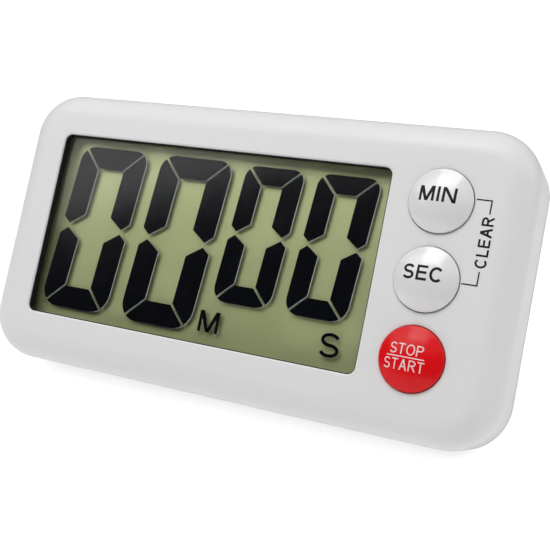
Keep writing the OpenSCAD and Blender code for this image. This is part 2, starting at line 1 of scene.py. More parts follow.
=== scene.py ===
"""Looks of the lab timer: fine shells, printed legends, materials, light and camera round its frame."""
import json
import math

import bmesh
import bpy
from mathutils import Matrix, Quaternion, Vector


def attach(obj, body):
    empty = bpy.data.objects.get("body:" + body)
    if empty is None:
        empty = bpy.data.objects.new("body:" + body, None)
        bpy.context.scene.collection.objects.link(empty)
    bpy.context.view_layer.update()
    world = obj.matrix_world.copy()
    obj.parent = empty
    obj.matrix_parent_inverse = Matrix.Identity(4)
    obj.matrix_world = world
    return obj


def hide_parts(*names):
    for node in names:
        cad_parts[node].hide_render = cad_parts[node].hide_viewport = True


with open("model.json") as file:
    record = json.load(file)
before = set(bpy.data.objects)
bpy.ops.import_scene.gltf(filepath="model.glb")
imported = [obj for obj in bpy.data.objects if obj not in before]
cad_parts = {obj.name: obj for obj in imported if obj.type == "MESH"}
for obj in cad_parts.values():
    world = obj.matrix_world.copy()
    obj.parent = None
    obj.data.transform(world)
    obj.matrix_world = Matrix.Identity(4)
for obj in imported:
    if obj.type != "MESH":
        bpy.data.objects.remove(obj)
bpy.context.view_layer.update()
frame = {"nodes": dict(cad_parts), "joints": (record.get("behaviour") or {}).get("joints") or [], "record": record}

MM = 0.001

# ------------------------------------------------------------------ the case's own frame
# The case leans back on its stand. Pieces are drawn flat, in millimetres, with x to the
# right, y up the face and z out of it, and then stood up with one matrix.
axis_of = {joint["name"]: Vector(joint["axis"]) for joint in frame["joints"]}
FACE_UP = axis_of["door_slide"].normalized()
FACE_OUT = -axis_of["min_press"].normalized()
TURN = Matrix((Vector((1, 0, 0)), FACE_UP, FACE_OUT)).transposed().to_4x4()


def turned_box(node):
    """Low and high corners of a CAD node measured along the case's own axes, in millimetres."""
    back = TURN.inverted()
    points = [back @ v.co / MM for v in frame["nodes"][node].data.vertices]
    low = Vector([min(p[i] for p in points) for i in range(3)])
    high = Vector([max(p[i] for p in points) for i in range(3)])
    return low, high


case_low, case_high = turned_box("front_case")
FACE_MIDDLE = Vector(((case_low.x + case_high.x) / 2, (case_low.y + case_high.y) / 2, case_high.z))
STAND_UP = TURN @ Matrix.Translation(FACE_MIDDLE * MM) @ Matrix.Scale(MM, 4)


def flat_box(node):
    """Low and high corners of a CAD node in the case's own frame, in millimetres."""
    low, high = turned_box(node)
    return low - FACE_MIDDLE, high - FACE_MIDDLE


# ------------------------------------------------------------------ shared sizes, in millimetres
CASE_W = case_high.x - case_low.x
CASE_H = case_high.y - case_low.y
SPLIT_Z = case_low.z - case_high.z
CORNER_R = 8.7
FRONT_ROUND = 5
WALL = 2
SEAM_CHAMFER = 0.25
gasket_low, gasket_high = flat_box("window_gasket")
GASKET_WALL = 0.9
GASKET_PLAY = 0.1
WINDOW_MIDDLE = (gasket_low + gasket_high) / 2
WINDOW_W = gasket_high.x - gasket_low.x - 2 * GASKET_WALL
WINDOW_H = gasket_high.y - gasket_low.y - 2 * GASKET_WALL
WINDOW_R = 1.2
POCKET_R = WINDOW_R + 1
LIP_ROUND = 0.35
LIP_RIM = 0.15
LEDGE_Z = -LIP_ROUND - 0.03
BODY_OF_BUTTON = {"min_button": "min_key", "sec_button": "sec_key", "start_button": "start_key"}
BUTTONS = tuple(BODY_OF_BUTTON)
button_boxes = {name: flat_box(name) for name in BUTTONS}
BUTTON_MIDDLES = {name: (low + high) / 2 for name, (low, high) in button_boxes.items()}
CAP_R = 5.14
CAP_GAP = 0.09
CAP_TOP = button_boxes["min_button"][1].z
HOLE_ROUND = 0.14

# How finely round shapes are cut, and how close two points count as one.
ROUND_STEPS = 14
CORNER_STEPS = 20
LIP_STEPS = 6
HOLE_STEPS = 4
HOLE_SIDES = 96
SAME_SPOT = 1e-4


# ------------------------------------------------------------------ making pieces
def finish_piece(name, bm, material, body, replaced=()):
    """Stands a flat-drawn bmesh up and makes it a finished piece that rides on a body."""
    bmesh.ops.transform(bm, matrix=STAND_UP, verts=bm.verts)
    mesh = bpy.data.meshes.new(name)
    bm.to_mesh(mesh)
    bm.free()
    mesh.shade_smooth()
    piece = bpy.data.objects.new(name, mesh)
    bpy.context.scene.collection.objects.link(piece)
    mesh.materials.append(material)
    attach(piece, body)
    if replaced:
        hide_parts(*replaced)
    return piece


def even_normals(piece, angle=35):
    """Keeps big flat faces flat beside small rounded ones."""
    piece.data.set_sharp_from_angle(angle=math.radians(angle))
    level = piece.modifiers.new("even_normals", "WEIGHTED_NORMAL")
    level.keep_sharp = True
    level.weight = 100


def rounded_loop(bm, w, h, r, middle, z):
    """Edges of a rectangle outline with round corners."""
    made = bmesh.ops.create_grid(bm, x_segments=1, y_segments=1, size=0.5)["verts"]
    bmesh.ops.scale(bm, vec=(w, h, 1), verts=made)
    bmesh.ops.translate(bm, vec=(middle[0], middle[1], z), verts=made)
    bmesh.ops.bevel(bm, geom=made, offset=r, offset_type="OFFSET", segments=CORNER_STEPS,
        profile=0.5, affect="VERTICES", material=-1)
    face = max(bm.faces, key=lambda f: len(f.verts))
    edges = list(face.edges)
    bmesh.ops.delete(bm, geom=[face], context="FACES_ONLY")
    return edges


def circle_loop(bm, r, middle, z):
    """Edges of a circle."""
    made = bmesh.ops.create_circle(bm, cap_ends=False, segments=HOLE_SIDES, radius=r)["verts"]
    bmesh.ops.translate(bm, vec=(middle[0], middle[1], z), verts=made)
    return list({edge for v in made for edge in v.link_edges})


def walk(bm, edges, middle, core, path):
    """Extrudes a closed loop step by step: each step grows the outline and sets its depth."""
    for grow, z in path:
        made = bmesh.ops.extrude_edge_only(bm, edges=edges)["geom"]
        verts = {v for v in made if isinstance(v, bmesh.types.BMVert)}
        edges = [e for e in made if isinstance(e, bmesh.types.BMEdge) and set(e.verts) <= verts]
        for v in verts:
            x, y = v.co.x - middle[0], v.co.y - middle[1]
            away = Vector((x - max(-core[0], min(core[0], x)), y - max(-core[1], min(core[1], y))))
            if away.length > SAME_SPOT:
                away.normalize()
                v.co.x += away.x * grow
                v.co.y += away.y * grow
            v.co.z = z
    return edges


def quarter_round(radius, steps, outward=1, top=0.0):
    """Steps of a rounded edge that starts level with the face and ends square to it."""
    angles = [math.pi / 2 * i / steps for i in range(steps + 1)]
    return [(outward * radius * (math.sin(b) - math.sin(a)), top - radius * (1 - math.cos(b)))
        for a, b in zip(angles, angles[1:])]


def spun(bm, profile, sides=HOLE_SIDES):
    """Spins a chain of (radius, height) points round the z axis."""
    chain = [bm.verts.new((r, 0, z)) for r, z in profile]
    edges = [bm.edges.new(pair) for pair in zip(chain, chain[1:])]
    bmesh.ops.spin(bm, geom=chain + edges, axis=(0, 0, 1), cent=(0, 0, 0), dvec=(0, 0, 0),
        angle=2 * math.pi, steps=sides, use_merge=True, use_duplicate=False)
    bmesh.ops.remove_doubles(bm, verts=bm.verts, dist=SAME_SPOT)
    bmesh.ops.recalc_face_normals(bm, faces=bm.faces)


# ------------------------------------------------------------------ front shell
POST_SIDES = 32
POST_BITE = 0.2
# Radius and end of the moulded posts, then radius and end of their blind screw holes.
CASE_POST = (2.4, -12.8, 1.02, -6.4)
BOARD_POST = (1.8, -5.3, 0.82, -3)


def screw_spots(node, apart=6):
    """Middle of each screw in a CAD node, in the case's own frame."""
    back = STAND_UP.inverted()
    screws = []
    for v in frame["nodes"][node].data.vertices:
        point = back @ v.co
        near = next((s for s in screws if (s[0] - point).xy.length < apart), None)
        if near is None:
            screws.append([point])
        else:
            near.append(point)
    return [[(min(p[i] for p in s) + max(p[i] for p in s)) / 2 for i in range(2)] for s in screws]


def add_post(bm, spot, r, end, hole_r, hole_end):
    """A moulded post behind the front wall, with its blind screw hole."""
    root = -WALL + POST_BITE
    post = bmesh.new()
    spun(post, [(0, root), (r, root), (r, end), (hole_r, end), (hole_r, hole_end), (0, hole_end)], POST_SIDES)
    bmesh.ops.translate(post, vec=(*spot, 0), verts=post.verts)
    mesh = bpy.data.meshes.new("post")
    post.to_mesh(mesh)
    post.free()
    bm.from_mesh(mesh)
    bpy.data.meshes.remove(mesh)


def front_shell(material):
    """The front half of the case: rounded shell, window with its lip, button holes and screw posts."""
    bm = bmesh.new()
    corner_core = (CASE_W / 2 - CORNER_R, CASE_H / 2 - CORNER_R)
    window_core = (WINDOW_W / 2 - WINDOW_R, WINDOW_H / 2 - WINDOW_R)
    inner_round = FRONT_ROUND - WALL

    # front face, its rounded edge and the side wall
    outer = rounded_loop(bm, CASE_W - 2 * FRONT_ROUND, CASE_H - 2 * FRONT_ROUND,
        CORNER_R - FRONT_ROUND, (0, 0), 0)
    lip = LIP_RIM + LIP_ROUND
    window = rounded_loop(bm, WINDOW_W + 2 * lip, WINDOW_H + 2 * lip, WINDOW_R + lip, WINDOW_MIDDLE, 0)
    holes = [circle_loop(bm, CAP_R + CAP_GAP + HOLE_ROUND, spot, 0) for spot in BUTTON_MIDDLES.values()]
    flat = outer + window + [edge for hole in holes for edge in hole]
    bmesh.ops.triangle_fill(bm, use_beauty=True, edges=flat)
    outer = walk(bm, outer, (0, 0), corner_core,
        quarter_round(FRONT_ROUND, ROUND_STEPS) + [(0, SPLIT_Z + SEAM_CHAMFER), (-SEAM_CHAMFER, SPLIT_Z)])

    # inner face and inner wall
    inner = rounded_loop(bm, CASE_W - 2 * FRONT_ROUND, CASE_H - 2 * FRONT_ROUND,
        CORNER_R - FRONT_ROUND, (0, 0), -WALL)
    pocket_grow = 2 * (GASKET_WALL + GASKET_PLAY)
    pocket = rounded_loop(bm, WINDOW_W + pocket_grow, WINDOW_H + pocket_grow, POCKET_R, WINDOW_MIDDLE, -WALL)
    low_holes = [circle_loop(bm, CAP_R + CAP_GAP, spot, -WALL) for spot in BUTTON_MIDDLES.values()]
    flat = inner + pocket + [edge for hole in low_holes for edge in hole]
    bmesh.ops.triangle_fill(bm, use_beauty=True, edges=flat)
    inner = walk(bm, inner, (0, 0), corner_core,
        quarter_round(inner_round, ROUND_STEPS, top=-WALL) + [(0, SPLIT_Z)])
    bmesh.ops.bridge_loops(bm, edges=outer + inner)

    # window lip and its ledge for the gasket
    ledge = GASKET_WALL + GASKET_PLAY - LIP_RIM
    window = walk(bm, window, WINDOW_MIDDLE, window_core,
        quarter_round(LIP_ROUND, LIP_STEPS, outward=-1) + [(0, LEDGE_Z), (ledge, LEDGE_Z)])
    bmesh.ops.bridge_loops(bm, edges=window + pocket)

    # button holes
    for hole, low_hole, spot in zip(holes, low_holes, BUTTON_MIDDLES.values()):
        hole = walk(bm, hole, spot, (0, 0), quarter_round(HOLE_ROUND, HOLE_STEPS, outward=-1))
        bmesh.ops.bridge_loops(bm, edges=hole + low_hole)
    bmesh.ops.remove_doubles(bm, verts=bm.verts, dist=SAME_SPOT)
    bmesh.ops.recalc_face_normals(bm, faces=bm.faces)

    # posts for the case screws and the board screws
    for spot in screw_spots("case_screws"):
        add_post(bm, spot, *CASE_POST)
    for spot in screw_spots("board_screws"):
        add_post(bm, spot, *BOARD_POST)
    even_normals(finish_piece("front_shell", bm, material, "case", ["front_case"]))


# ------------------------------------------------------------------ buttons
CAP_EDGE = 0.6
CAP_EDGE_ROUND = 0.35
CAP_REACH = CAP_R - CAP_EDGE_ROUND
CAP_RISE = CAP_TOP - CAP_EDGE
CROWN_R = (CAP_REACH ** 2 + CAP_RISE ** 2) / (2 * CAP_RISE)
FLANGE_R = 5.9
FLANGE_T = 1
DOME_STEPS = 24
EDGE_STEPS = 8


def dome_height(distance):
    """Height of a cap's domed top at a distance from its axis."""
    return CAP_TOP - CROWN_R + math.sqrt(CROWN_R ** 2 - distance ** 2)


def button_cap(name, material):
    """A domed cap with a rounded edge, and a flange that keeps it behind the front wall."""
    start = math.acos(min(1, CAP_REACH / CROWN_R))
    turns = [start * (1 - i / EDGE_STEPS) for i in range(1, EDGE_STEPS + 1)]
    dome = [(r, dome_height(r)) for r in (CAP_REACH * i / DOME_STEPS for i in range(DOME_STEPS + 1))]
    edge = [(CAP_REACH + CAP_EDGE_ROUND * math.cos(a), CAP_EDGE - CAP_EDGE_ROUND * (1 - math.sin(a)))
        for a in turns]
    base = button_boxes[name][0].z
    skirt = [(CAP_R, base + FLANGE_T), (FLANGE_R, base + FLANGE_T), (FLANGE_R, base), (0, base)]
    bm = bmesh.new()
    spun(bm, dome + edge + skirt)
    spot = BUTTON_MIDDLES[name]
    bmesh.ops.translate(bm, vec=(spot.x, spot.y, 0), verts=bm.verts)
    even_normals(finish_piece(name + "_cap", bm, material, BODY_OF_BUTTON[name], [name]), 40)


# ------------------------------------------------------------------ camera
CAMERA_SPOT = Vector((69.56, -137.23, 78.21))
CAMERA_AZIMUTH = 25.44
CAMERA_ELEVATION = 20.02
CAMERA_LENS = 59.85
SENSOR_WIDTH = 36
CAMERA_NEAR = 0.005


def add_camera():
    """Looks at the timer from its front right, a little from above."""
    turn = math.radians(CAMERA_AZIMUTH)
    tilt = math.radians(CAMERA_ELEVATION)
    back = Vector((math.sin(turn) * math.cos(tilt), -math.cos(turn) * math.cos(tilt), math.sin(tilt)))
    data = bpy.data.cameras.new("camera")
    data.lens = CAMERA_LENS
    data.sensor_width = SENSOR_WIDTH
    data.clip_start = CAMERA_NEAR
    camera = bpy.data.objects.new("camera", data)
    bpy.context.scene.collection.objects.link(camera)
    camera.location = CAMERA_SPOT * MM
    camera.rotation_mode = "QUATERNION"
    camera.rotation_quaternion = (-back).to_track_quat("-Z", "Y")
    bpy.context.scene.camera = camera


add_camera()


# ------------------------------------------------------------------ shader groups shared by the materials
def new_group(name, inputs, outputs):
    """An empty shader node group with its sockets; inputs are (name, starting value)."""
    group = bpy.data.node_groups.new(name, "ShaderNodeTree")
    for socket, start in inputs:
        made = group.interface.new_socket(socket, in_out="INPUT", socket_type="NodeSocketFloat")
        made.default_value = start
    for socket in outputs:
        group.interface.new_socket(socket, in_out="OUTPUT", socket_type="NodeSocketFloat")
    return group, group.nodes.new("NodeGroupInput"), group.nodes.new("NodeGroupOutput")


def math_node(tree, kind, a, b=None, clamp=False):
    """A maths node whose inputs are sockets or plain numbers."""
    node = tree.nodes.new("ShaderNodeMath")
    node.operation = kind
    node.use_clamp = clamp
    for index, value in enumerate((a, b)):
        if value is None:
            continue
        if isinstance(value, bpy.types.NodeSocket):
            tree.links.new(value, node.inputs[index])
        else:
            node.inputs[index].default_value = value
    return node.outputs[0]


def noise_node(tree, place, scale, detail=2.0, stretch=(1, 1, 1), spread=0.0):
    """Noise over the piece; scale is in cells per metre."""
    mapping = tree.nodes.new("ShaderNodeMapping")
    mapping.inputs["Scale"].default_value = stretch
    tree.links.new(place, mapping.inputs["Vector"])
    noise = tree.nodes.new("ShaderNodeTexNoise")
    noise.inputs["Detail"].default_value = detail
    noise.inputs["Distortion"].default_value = spread
    tree.links.new(mapping.outputs[0], noise.inputs["Vector"])
    if isinstance(scale, bpy.types.NodeSocket):
        tree.links.new(scale, noise.inputs["Scale"])
    else:
        noise.inputs["Scale"].default_value = scale
    return noise.outputs[0]


FINE_SHARE = 0.7
PITTED_SCALE = 0.22
SMUDGE_CELLS = 170
SMUDGE_START = 0.45
SMUDGE_STEEPNESS = 4
RUB_STEEPNESS = 7
RUB_CELLS = 420
RUB_START = 0.35
RUB_PATCHES = 3
# Noise that breaks up the seam mask of dust and painted shade.
SEAM_MASK_CELLS = 900
SEAM_MASK_PATCHES = 1.5
MASK_SAMPLES = 4


def surface_grain_group():
    """Fine moulded grain, slow cloudy shade changes and handling smudges."""
    group, given, out = new_group("surface_grain", [("Grain Size", 4000.0), ("Cloud Size", 60.0)],
        ["Grain", "Cloud", "Smudge"])
    place = group.nodes.new("ShaderNodeTexCoord").outputs["Object"]
    fine = noise_node(group, place, given.outputs["Grain Size"], 2)
    pitted_size = math_node(group, "MULTIPLY", given.outputs["Grain Size"], PITTED_SCALE)
    pitted = noise_node(group, place, pitted_size, 3)
    fine_part = math_node(group, "MULTIPLY", fine, FINE_SHARE)
    pitted_part = math_node(group, "MULTIPLY", pitted, 1 - FINE_SHARE)
    group.links.new(math_node(group, "ADD", fine_part, pitted_part), out.inputs["Grain"])
    group.links.new(noise_node(group, place, given.outputs["Cloud Size"], 3, spread=0.4), out.inputs["Cloud"])
    smudge = noise_node(group, place, SMUDGE_CELLS, 5, spread=1.2)
    smudge = math_node(group, "SUBTRACT", smudge, SMUDGE_START)
    smudge = math_node(group, "MULTIPLY", smudge, SMUDGE_STEEPNESS, clamp=True)
    group.links.new(smudge, out.inputs["Smudge"])
    return group


def edge_rub_group():
    """A mask of outer edges that hands have rubbed."""
    group, given, out = new_group("edge_rub", [("Width", 0.0005)], ["Mask"])
    place = group.nodes.new("ShaderNodeTexCoord").outputs["Object"]
    bevel = group.nodes.new("ShaderNodeBevel")
    bevel.samples = MASK_SAMPLES
    group.links.new(given.outputs["Width"], bevel.inputs["Radius"])
    shape = group.nodes.new("ShaderNodeNewGeometry")
    dot = group.nodes.new("ShaderNodeVectorMath")
    dot.operation = "DOT_PRODUCT"
    group.links.new(bevel.outputs[0], dot.inputs[0])
    group.links.new(shape.outputs["Normal"], dot.inputs[1])
    bent = math_node(group, "SUBTRACT", 1.0, dot.outputs["Value"])
    bent = math_node(group, "MULTIPLY", bent, RUB_STEEPNESS, clamp=True)
    patchy = math_node(group, "SUBTRACT", noise_node(group, place, RUB_CELLS, 4), RUB_START)
    patchy = math_node(group, "MULTIPLY", patchy, RUB_PATCHES, clamp=True)
    group.links.new(math_node(group, "MULTIPLY", bent, patchy), out.inputs["Mask"])
    return group


def seam_dust_and_shade_group():
    """A mask of seams and corners, from ambient occlusion: dust that stays there, and painted shade where they are
    shut in.
    """
    group, given, out = new_group("seam_dust_and_shade", [("Reach", 0.0008)], ["Mask"])
    place = group.nodes.new("ShaderNodeTexCoord").outputs["Object"]
    corner = group.nodes.new("ShaderNodeAmbientOcclusion")
    corner.samples = MASK_SAMPLES
    group.links.new(given.outputs["Reach"], corner.inputs["Distance"])
    shut = math_node(group, "SUBTRACT", 1.0, corner.outputs["AO"])
    patchy = math_node(group, "MULTIPLY", noise_node(group, place, SEAM_MASK_CELLS, 4), SEAM_MASK_PATCHES, clamp=True)
    group.links.new(math_node(group, "MULTIPLY", shut, patchy), out.inputs["Mask"])
    return group


CLOUDY_SHADE = 0.93
BUMP_STRENGTH = 0.6
CLEAR_CLOUDY_SHADE = 0.985
CLEAR_BUMP_STRENGTH = 0.1
CLEAR_GRAIN_DEPTH = 0.002
CLEAR_SMUDGES = 0.04
GRAIN = surface_grain_group()
RUB = edge_rub_group()
DUST_AND_SHADE_GROUP = seam_dust_and_shade_group()
# Colour mixed into seams and corners: dust, and painted shade where they are shut in.
DUST_AND_SHADE_COLOR = (0.32, 0.30, 0.27)


def mix_color(tree, factor, a, b):
    """Mixes two colours; each may be a socket or a plain colour."""
    node = tree.nodes.new("ShaderNodeMix")
    node.data_type = "RGBA"
    for socket, value in ((node.inputs[0], factor), (node.inputs[6], a), (node.inputs[7], b)):
        if isinstance(value, bpy.types.NodeSocket):
            tree.links.new(value, socket)
        elif isinstance(value, tuple):
            socket.default_value = (*value, 1)
        else:
            socket.default_value = value
    return node.outputs[2]


def use_group(tree, group, **values):
    """Places a shader group in a material with its own values."""
    node = tree.nodes.new("ShaderNodeGroup")
    node.node_tree = group
    for socket, value in values.items():
        node.inputs[socket.replace("_", " ")].default_value = value
    return node


def surface(name, color, cloudy=None, rough=0.5, metal=0.0, grain=4000, depth=0.01, clouds=60,
        smudges=0.08, rub=None, rubbed=0.3, dust_and_shade=0.3, **finish):
    """A material with grain, uneven tone, smudges, rubbed edges, and dust with painted shade in its seams.

    depth is the grain's height in millimetres; finish sets the shader's other sockets.
    """
    made = bpy.data.materials.new(name)
    made.use_nodes = True
    tree = made.node_tree
    shader = tree.nodes["Principled BSDF"]
    shader.inputs["Metallic"].default_value = metal
    for socket, value in finish.items():
        shader.inputs[socket.replace("_", " ")].default_value = value
    skin = use_group(tree, GRAIN, Grain_Size=grain, Cloud_Size=clouds)
    shade = mix_color(tree, skin.outputs["Cloud"], color, cloudy or tuple(CLOUDY_SHADE * c for c in color))
    if rub:
        worn = use_group(tree, RUB)
        amount = math_node(tree, "MULTIPLY", worn.outputs["Mask"], rubbed)
        shade = mix_color(tree, amount, shade, rub)
    # Dust and painted shade: an ambient-occlusion mask darkens seams and corners.
    if dust_and_shade:
        seam = use_group(tree, DUST_AND_SHADE_GROUP)
        amount = math_node(tree, "MULTIPLY", seam.outputs["Mask"], dust_and_shade, clamp=True)
        shade = mix_color(tree, amount, shade, DUST_AND_SHADE_COLOR)
    tree.links.new(shade, shader.inputs["Base Color"])
    spread = math_node(tree, "MULTIPLY", math_node(tree, "SUBTRACT", skin.outputs["Smudge"], 0.5), smudges)
    tree.links.new(math_node(tree, "ADD", spread, rough, clamp=True), shader.inputs["Roughness"])
    bump = tree.nodes.new("ShaderNodeBump")
    bump.inputs["Strength"].default_value = BUMP_STRENGTH
    bump.inputs["Distance"].default_value = depth * MM
    tree.links.new(skin.outputs["Grain"], bump.inputs["Height"])
    tree.links.new(bump.outputs[0], shader.inputs["Normal"])
    return made


def clear_layer(name, tint, rough, index):
    """A clear sheet: light passes straight through it and its front still shines a little."""
    made = bpy.data.materials.new(name)
    made.use_nodes = True
    tree = made.node_tree
    tree.nodes.clear()
    skin = use_group(tree, GRAIN, Grain_Size=2500, Cloud_Size=90)
    shade = mix_color(tree, skin.outputs["Cloud"], tint, tuple(CLEAR_CLOUDY_SHADE * c for c in tint))
    through = tree.nodes.new("ShaderNodeBsdfTransparent")
    tree.links.new(shade, through.inputs["Color"])
    bump = tree.nodes.new("ShaderNodeBump")
    bump.inputs["Strength"].default_value = CLEAR_BUMP_STRENGTH
    bump.inputs["Distance"].default_value = CLEAR_GRAIN_DEPTH * MM
    tree.links.new(skin.outputs["Grain"], bump.inputs["Height"])
    shine = tree.nodes.new("ShaderNodeBsdfAnisotropic")
    shine.inputs["Color"].default_value = (1, 1, 1, 1)
    spread = math_node(tree, "MULTIPLY", skin.outputs["Smudge"], CLEAR_SMUDGES)
    tree.links.new(math_node(tree, "ADD", spread, rough), shine.inputs["Roughness"])
    tree.links.new(bump.outputs[0], shine.inputs["Normal"])
    fresnel = tree.nodes.new("ShaderNodeFresnel")
    fresnel.inputs["IOR"].default_value = index
    both = tree.nodes.new("ShaderNodeMixShader")
    shape = tree.nodes.new("ShaderNodeNewGeometry")
    front_only = math_node(tree, "SUBTRACT", 1.0, shape.outputs["Backfacing"])
    tree.links.new(math_node(tree, "MULTIPLY", fresnel.outputs[0], front_only), both.inputs[0])
    tree.links.new(through.outputs[0], both.inputs[1])
    tree.links.new(shine.outputs[0], both.inputs[2])
    out = tree.nodes.new("ShaderNodeOutputMaterial")
    tree.links.new(both.outputs[0], out.inputs["Surface"])
    return made


# ------------------------------------------------------------------ materials
WHITE_SHELL = surface("white_shell", (0.775, 0.78, 0.78), (0.765, 0.77, 0.768), 0.42, grain=3600, depth=0.006,
    rub=(0.84, 0.84, 0.84), rubbed=0.35, dust_and_shade=0.25, Specular_IOR_Level=0.45)
WHITE_REAR = surface("white_rear_shell", (0.76, 0.765, 0.765), (0.74, 0.742, 0.74), 0.5, grain=2600,
    depth=0.012, rub=(0.84, 0.84, 0.84), rubbed=0.45, dust_and_shade=0.6, Specular_IOR_Level=0.45)
WHITE_KEY = surface("white_key", (0.78, 0.785, 0.785), (0.765, 0.77, 0.77), 0.2, grain=2400, depth=0.002,
    smudges=0.12, rub=(0.82, 0.82, 0.82), rubbed=0.3, dust_and_shade=0.15, Coat_Weight=0.9, Coat_Roughness=0.24)
RED_KEY = surface("red_key", (0.76, 0.006, 0.010), (0.70, 0.005, 0.008), 0.25, grain=2400, depth=0.002,
    smudges=0.12, rub=(0.82, 0.03, 0.03), rubbed=0.3, dust_and_shade=0.1, Specular_IOR_Level=0.22)
LEGEND_BLACK = surface("black_legend", (0.008, 0.008, 0.010), (0.018, 0.018, 0.020), 0.5, grain=9000,
    depth=0.002, clouds=1500, dust_and_shade=0, Specular_IOR_Level=0.15)
LEGEND_PALE = surface("pale_legend", (0.86, 0.70, 0.70), (0.82, 0.58, 0.58), 0.4, grain=9000, depth=0.002,
    clouds=1500, dust_and_shade=0)
GASKET = surface("black_gasket", (0.004, 0.004, 0.004), (0.012, 0.012, 0.012), 0.75, grain=5000, depth=0.01,
    dust_and_shade=0.03, Specular_IOR_Level=0.25)
DISPLAY_INK = surface("display_ink", (0.0012, 0.0016, 0.003), (0.002, 0.0026, 0.005), 0.6, grain=9000,
    depth=0.001, clouds=300, dust_and_shade=0, Specular_IOR_Level=0.0)
DISPLAY_BACK = surface("display_back", (0.57, 0.595, 0.335), (0.55, 0.58, 0.32), 0.42, metal=0.66, grain=7000,
    depth=0.008, clouds=120, dust_and_shade=0, Specular_IOR_Level=0.3)
# Pale grey of the painted shadow under the digits.
PAINTED_DIGIT_SHADOW = surface("display_painted_shadow", (0.43, 0.455, 0.47), (0.40, 0.43, 0.44), 0.5, metal=0.15, grain=7000,
    depth=0.004, clouds=200, dust_and_shade=0, Specular_IOR_Level=0.3)
DISPLAY_FILM = clear_layer("display_film", tint=(0.97, 0.975, 0.955), rough=0.13, index=1.48)
DISPLAY_GLASS = clear_layer("display_glass", tint=(0.985, 0.992, 0.98), rough=0.1, index=1.06)
BLACK_PLASTIC = surface("black_plastic", (0.02, 0.02, 0.021), (0.035, 0.035, 0.036), 0.5,
    rub=(0.09, 0.09, 0.09))
ZEBRA = surface("zebra_rubber", (0.11, 0.105, 0.11), (0.06, 0.055, 0.06), 0.6, clouds=900)
BOARD = surface("board_green", (0.02, 0.11, 0.035), (0.05, 0.17, 0.05), 0.35, grain=1800, depth=0.02,
    clouds=350, rub=(0.45, 0.42, 0.22), dust_and_shade=0.2)
RESIN = surface("black_resin", (0.010, 0.010, 0.011), (0.02, 0.02, 0.02), 0.25, grain=900, depth=0.03,
    clouds=500)
CERAMIC = surface("chip_ceramic", (0.36, 0.25, 0.15), (0.46, 0.34, 0.22), 0.45, clouds=900)
FERRITE = surface("ferrite", (0.05, 0.048, 0.046), (0.09, 0.085, 0.08), 0.7, grain=3000, depth=0.02,
    clouds=800)
SILICONE = surface("silicone", (0.42, 0.43, 0.44), (0.5, 0.51, 0.52), 0.6, clouds=250, Subsurface_Weight=0.05)
CARBON = surface("carbon", (0.014, 0.014, 0.014), (0.03, 0.03, 0.03), 0.8, grain=6000, depth=0.01, clouds=900)
BRASS = surface("brass", (0.72, 0.52, 0.22), (0.62, 0.42, 0.17), 0.3, metal=1.0, clouds=300,
    rub=(0.9, 0.75, 0.45))
WIRE_JACKET = surface("wire_jacket", (0.35, 0.015, 0.015), (0.28, 0.01, 0.01), 0.5, clouds=500)
CELL_SLEEVE = surface("cell_sleeve", (0.025, 0.05, 0.09), (0.035, 0.065, 0.11), 0.3, clouds=90,
    rub=(0.2, 0.22, 0.25))
STEEL = surface("steel", (0.60, 0.60, 0.61), (0.50, 0.50, 0.52), 0.33, metal=1.0, grain=2600, depth=0.006,
    clouds=420, rub=(0.8, 0.8, 0.8))
MAGNET = surface("magnet_nickel", (0.55, 0.54, 0.52), (0.46, 0.45, 0.43), 0.28, metal=1.0, grain=3000,
    depth=0.006, clouds=260, rub=(0.75, 0.74, 0.72))

LOOK_OF_SLOT = {
    "white_case": WHITE_REAR, "white_button": WHITE_KEY, "red_button": RED_KEY, "black_gasket": GASKET,
    "display_film": DISPLAY_FILM, "display_glass": DISPLAY_GLASS, "display_ink": DISPLAY_INK,
    "display_back": DISPLAY_BACK, "black_plastic": BLACK_PLASTIC, "zebra_rubber": ZEBRA,
    "board_green": BOARD, "black_resin": RESIN, "chip_ceramic": CERAMIC, "ferrite": FERRITE,
    "silicone": SILICONE, "carbon": CARBON, "brass": BRASS, "wire_jacket": WIRE_JACKET,
    "cell_sleeve": CELL_SLEEVE, "steel": STEEL, "magnet": MAGNET
}


def dress_cad_nodes():
    """Gives every CAD node the detailed look of its own material slot."""
    for part in frame["record"]["subparts"]:
        mesh = frame["nodes"][part["node"]].data
        mesh.materials.clear()
        mesh.materials.append(LOOK_OF_SLOT[part["material_slot"]])


dress_cad_nodes()


# ------------------------------------------------------------------ printed legends
LEGEND_LIFT = 0.012
PRINT_STEP = 0.4
ARC_STEPS = 20


def add_bar(bm, low, high):
    """A flat printed bar from one corner to the other."""
    made = bmesh.ops.create_grid(bm, x_segments=1, y_segments=1, size=0.5)["verts"]
    bmesh.ops.scale(bm, vec=(high[0] - low[0], high[1] - low[1], 1), verts=made)
    bmesh.ops.translate(bm, vec=((low[0] + high[0]) / 2, (low[1] + high[1]) / 2, 0), verts=made)


def joined(parts):
    """Puts several flat meshes, each shifted by (x, y) and turned, into one."""
    whole = bmesh.new()
    for bm, shift, turn in parts:
        turned = Matrix.Rotation(math.radians(turn), 3, "Z")
        bmesh.ops.rotate(bm, cent=(0, 0, 0), matrix=turned, verts=bm.verts)
        bmesh.ops.translate(bm, vec=(*shift, 0), verts=bm.verts)
        mesh = bpy.data.meshes.new("part")
        bm.to_mesh(mesh)
        bm.free()
        whole.from_mesh(mesh)
        bpy.data.meshes.remove(mesh)
    return whole


def add_quad(bm, corners):
    """One flat four-sided patch."""
    bm.faces.new([bm.verts.new((x, y, 0)) for x, y in corners])


